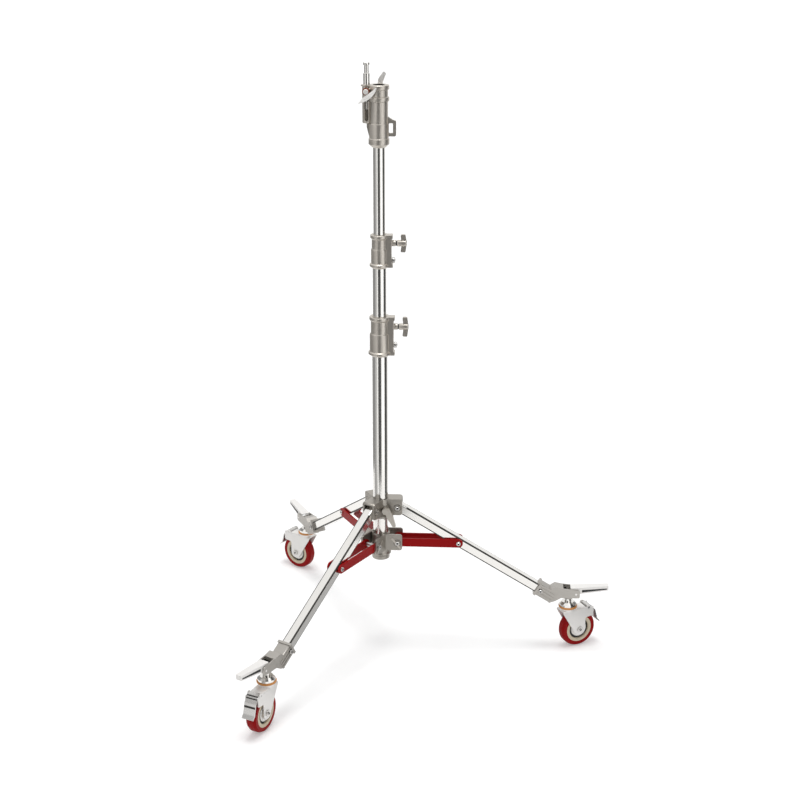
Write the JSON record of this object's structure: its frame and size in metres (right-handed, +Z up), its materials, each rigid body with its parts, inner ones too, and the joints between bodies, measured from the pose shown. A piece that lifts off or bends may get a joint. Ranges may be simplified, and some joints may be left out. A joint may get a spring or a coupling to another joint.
{
  "type": "wheeled light stand",
  "caption": "Telescopic light stand on folding braced legs with swivelling braked casters and a clamped spigot receiver.",
  "frame": {"origin": "on the floor under the column's axis, with the legs spread and the wheels on the floor", "axes": "+Z up along the column, +X along the right leg as seen in the picture, +Y away from its viewer"},
  "size_m": [0.9416, 1.0548, 1.543],
  "materials": {
    "tube": "polished",
    "bright": "bright plated",
    "casting": "satin",
    "grey_casting": "satin cast",
    "lever": "satin cast",
    "pin": "turned",
    "fixing": "zinc plated",
    "brace": "red enamel",
    "tread": "satin",
    "wheel": "moulded",
    "seal": "moulded",
    "liner": "moulded"
  },
  "bodies": {
    "base": {"lower_column": "tube", "column_foot_cap": "bright", "brace_collar": "casting", "brace_pivot_bolts": "fixing", "column_collar": "casting", "column_bush": "liner"},
    "middle_section": {"middle_riser": "tube", "middle_guide": "liner", "middle_collar": "casting", "middle_bush": "liner"},
    "upper_section": {"upper_riser": "tube", "upper_guide": "liner", "receiver": "casting"},
    "column_clamp": {"column_knob": "lever"},
    "middle_clamp": {"middle_knob": "lever"},
    "receiver_clamp": {"receiver_lever": "lever"},
    "pin_clamp": {"pin_lever": "lever"},
    "loose_pin": {"spigot_pin": "pin"},
    "sliding_collar": {"leg_collar": "casting", "leg_pivot_bolts": "fixing"},
    "collar_clamp": {"leg_collar_lever": "lever"},
    "right_leg": {"leg_right": "tube", "leg_end_right": "grey_casting", "sleeve_bolts_right": "fixing", "caster_stem_right": "bright"},
    "right_lever": {"leg_lever_right": "bright"},
    "right_brace": {"brace_bars_right": "brace", "brace_screws_right": "fixing"},
    "right_caster": {"caster_ring_right": "seal", "caster_fork_right": "bright", "wheel_axle_right": "fixing"},
    "right_wheel": {"wheel_tread_right": "tread", "wheel_core_right": "wheel"},
    "right_brake": {"brake_pedal_right": "bright"},
    "rear_leg": {"leg_rear": "tube", "leg_end_rear": "grey_casting", "sleeve_bolts_rear": "fixing", "caster_stem_rear": "bright"},
    "rear_lever": {"leg_lever_rear": "bright"},
    "rear_brace": {"brace_bars_rear": "brace", "brace_screws_rear": "fixing"},
    "rear_caster": {"caster_ring_rear": "seal", "caster_fork_rear": "bright", "wheel_axle_rear": "fixing"},
    "rear_wheel": {"wheel_tread_rear": "tread", "wheel_core_rear": "wheel"},
    "rear_brake": {"brake_pedal_rear": "bright"},
    "front_leg": {"leg_front": "tube", "leg_end_front": "grey_casting", "sleeve_bolts_front": "fixing", "caster_stem_front": "bright"},
    "front_lever": {"leg_lever_front": "bright"},
    "front_brace": {"brace_bars_front": "brace", "brace_screws_front": "fixing"},
    "front_caster": {"caster_ring_front": "seal", "caster_fork_front": "bright", "wheel_axle_front": "fixing"},
    "front_wheel": {"wheel_tread_front": "tread", "wheel_core_front": "wheel"},
    "front_brake": {"brake_pedal_front": "bright"}
  },
  "joints": [
    {"name": "middle_slide", "type": "slide", "parent": "base", "child": "middle_section", "axis": [0, 0, 1], "range_m": [-0.122, 0.3]},
    {"name": "upper_slide", "type": "slide", "parent": "middle_section", "child": "upper_section", "axis": [0, 0, 1], "range_m": [-0.213, 0.21]},
    {"name": "column_knob_turn", "type": "hinge", "parent": "base", "child": "column_clamp", "pos_m": [0.06, 0, 0.88977], "axis": [1, 0, 0], "range_deg": [0, 540]},
    {"name": "middle_knob_turn", "type": "hinge", "parent": "middle_section", "child": "middle_clamp", "pos_m": [0.055, 0, 1.10438], "axis": [1, 0, 0], "range_deg": [0, 540]},
    {"name": "receiver_lever_turn", "type": "hinge", "parent": "upper_section", "child": "receiver_clamp", "pos_m": [0, 0.025, 1.46998], "axis": [0, 1, 0], "range_deg": [0, 120]},
    {"name": "pin_lever_turn", "type": "hinge", "parent": "upper_section", "child": "pin_clamp", "pos_m": [-0.0292, -0.02, 1.47697], "axis": [0, -1, 0], "range_deg": [0, 120]},
    {"name": "pin_lift", "type": "slide", "parent": "upper_section", "child": "loose_pin", "axis": [0, 0, 1], "range_m": [-0.0275, 0.05]},
    {"name": "leg_collar_slide", "type": "slide", "parent": "base", "child": "sliding_collar", "axis": [0, 0, 1], "range_m": [0, 0.2375]},
    {"name": "collar_lever_turn", "type": "hinge", "parent": "sliding_collar", "child": "collar_clamp", "pos_m": [0.014, -0.025, 0.39798], "axis": [0, -1, 0], "range_deg": [0, 90]},
    {"name": "right_leg_fold", "type": "hinge", "parent": "sliding_collar", "child": "right_leg", "pos_m": [0.04503, 0, 0.39998], "axis": [0, 1, 0], "range_deg": [0, 43.69]},
    {"name": "right_brace_fold", "type": "hinge", "parent": "base", "child": "right_brace", "pos_m": [0.04503, 0, 0.30197], "axis": [0, -1, 0], "range_deg": [0, 72.38]},
    {"name": "right_lever_lift", "type": "hinge", "parent": "right_leg", "child": "right_lever", "pos_m": [0.52005, 0, 0.16], "axis": [0, -1, 0], "range_deg": [0, 40]},
    {"name": "right_swivel", "type": "hinge", "parent": "right_leg", "child": "right_caster", "pos_m": [0.50005, 0, 0.117], "axis": [0, 0, 1], "continuous": true},
    {"name": "right_wheel_spin", "type": "hinge", "parent": "right_caster", "child": "right_wheel", "pos_m": [0.52654, 0.01408, 0.05], "axis": [-0.4695, 0.8829, 0], "continuous": true},
    {"name": "right_brake_press", "type": "hinge", "parent": "right_caster", "child": "right_brake", "pos_m": [0.54861, 0.02582, 0.11], "axis": [-0.4695, 0.8829, 0], "range_deg": [-20, 0]},
    {"name": "rear_leg_fold", "type": "hinge", "parent": "sliding_collar", "child": "rear_leg", "pos_m": [-0.02252, 0.039, 0.39998], "axis": [-0.866, -0.5, 0], "range_deg": [0, 43.69]},
    {"name": "rear_brace_fold", "type": "hinge", "parent": "base", "child": "rear_brace", "pos_m": [-0.02252, 0.039, 0.30197], "axis": [0.866, 0.5, 0], "range_deg": [0, 72.38]},
    {"name": "rear_lever_lift", "type": "hinge", "parent": "rear_leg", "child": "rear_lever", "pos_m": [-0.26003, 0.45038, 0.16], "axis": [0.866, 0.5, 0], "range_deg": [0, 40]},
    {"name": "rear_swivel", "type": "hinge", "parent": "rear_leg", "child": "rear_caster", "pos_m": [-0.25002, 0.43306, 0.117], "axis": [0, 0, 1], "continuous": true},
    {"name": "rear_wheel_spin", "type": "hinge", "parent": "rear_caster", "child": "rear_wheel", "pos_m": [-0.27519, 0.44939, 0.05], "axis": [-0.5446, -0.8387, 0], "continuous": true},
    {"name": "rear_brake_press", "type": "hinge", "parent": "rear_caster", "child": "rear_brake", "pos_m": [-0.29615, 0.46301, 0.11], "axis": [-0.5446, -0.8387, 0], "range_deg": [-20, 0]},
    {"name": "front_leg_fold", "type": "hinge", "parent": "sliding_collar", "child": "front_leg", "pos_m": [-0.02252, -0.039, 0.39998], "axis": [0.866, -0.5, 0], "range_deg": [0, 43.69]},
    {"name": "front_brace_fold", "type": "hinge", "parent": "base", "child": "front_brace", "pos_m": [-0.02252, -0.039, 0.30197], "axis": [-0.866, 0.5, 0], "range_deg": [0, 72.38]},
    {"name": "front_lever_lift", "type": "hinge", "parent": "front_leg", "child": "front_lever", "pos_m": [-0.26003, -0.45038, 0.16], "axis": [-0.866, 0.5, 0], "range_deg": [0, 40]},
    {"name": "front_swivel", "type": "hinge", "parent": "front_leg", "child": "front_caster", "pos_m": [-0.25002, -0.43306, 0.117], "axis": [0, 0, 1], "continuous": true},
    {"name": "front_wheel_spin", "type": "hinge", "parent": "front_caster", "child": "front_wheel", "pos_m": [-0.26175, -0.46067, 0.05], "axis": [0.9205, -0.3907, 0], "continuous": true},
    {"name": "front_brake_press", "type": "hinge", "parent": "front_caster", "child": "front_brake", "pos_m": [-0.27152, -0.48368, 0.11], "axis": [0.9205, -0.3907, 0], "range_deg": [-20, 0]}
  ],
  "couplings": [
    {"joint": "right_leg_fold", "follows": "leg_collar_slide", "rad_per_m": 3.2096},
    {"joint": "right_brace_fold", "follows": "leg_collar_slide", "rad_per_m": 5.3181},
    {"joint": "rear_leg_fold", "follows": "leg_collar_slide", "rad_per_m": 3.2096},
    {"joint": "rear_brace_fold", "follows": "leg_collar_slide", "rad_per_m": 5.3181},
    {"joint": "front_leg_fold", "follows": "leg_collar_slide", "rad_per_m": 3.2096},
    {"joint": "front_brace_fold", "follows": "leg_collar_slide", "rad_per_m": 5.3181}
  ]
}
